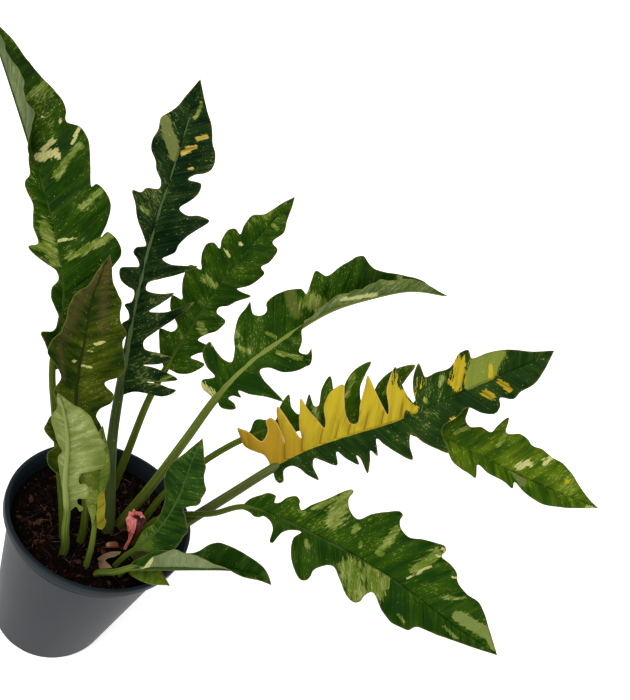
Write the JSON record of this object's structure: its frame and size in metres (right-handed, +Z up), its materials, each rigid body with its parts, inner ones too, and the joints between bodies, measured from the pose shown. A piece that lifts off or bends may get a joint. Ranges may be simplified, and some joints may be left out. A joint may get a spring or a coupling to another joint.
{
  "type": "potted_plant",
  "caption": "A ring of fire philodendron with saw-cut, marbled leaves of green, cream and yellow, in a round tapered blue-grey nursery pot filled with bark.",
  "frame": {"origin": "centre of the pot's flat foot, on the ground the pot stands on", "axes": "+Z up along the pot's axis, -Y towards the side that the picture shows, +X to the right of that view"},
  "size_m": [0.7809, 0.3572, 0.6231],
  "materials": {
    "pot": "satin",
    "soil": "rough",
    "rhizome": "rough",
    "brown_stub": "dry",
    "pink_sheath": "satin",
    "tan_sheath": "dry",
    "leaf_01": "satin",
    "leaf_02": "satin",
    "leaf_03": "satin",
    "leaf_05": "satin",
    "leaf_06": "satin",
    "leaf_07": "satin",
    "leaf_08": "satin",
    "leaf_09": "satin",
    "leaf_10": "satin",
    "leaf_11": "satin",
    "leaf_12": "satin",
    "leaf_13": "satin",
    "leaf_14": "satin"
  },
  "bodies": {
    "root": {"pot": "pot", "soil": "soil", "rhizome": "rhizome", "brown_stub": "brown_stub", "pink_sheath": "pink_sheath", "tan_sheath": "tan_sheath", "leaf_01": "leaf_01", "leaf_02": "leaf_02", "leaf_03": "leaf_03", "leaf_05": "leaf_05", "leaf_06": "leaf_06", "leaf_07": "leaf_07", "leaf_08": "leaf_08", "leaf_09": "leaf_09", "leaf_10": "leaf_10", "leaf_11": "leaf_11", "leaf_12": "leaf_12", "leaf_13": "leaf_13", "leaf_14": "leaf_14"}
  },
  "joints": []
}
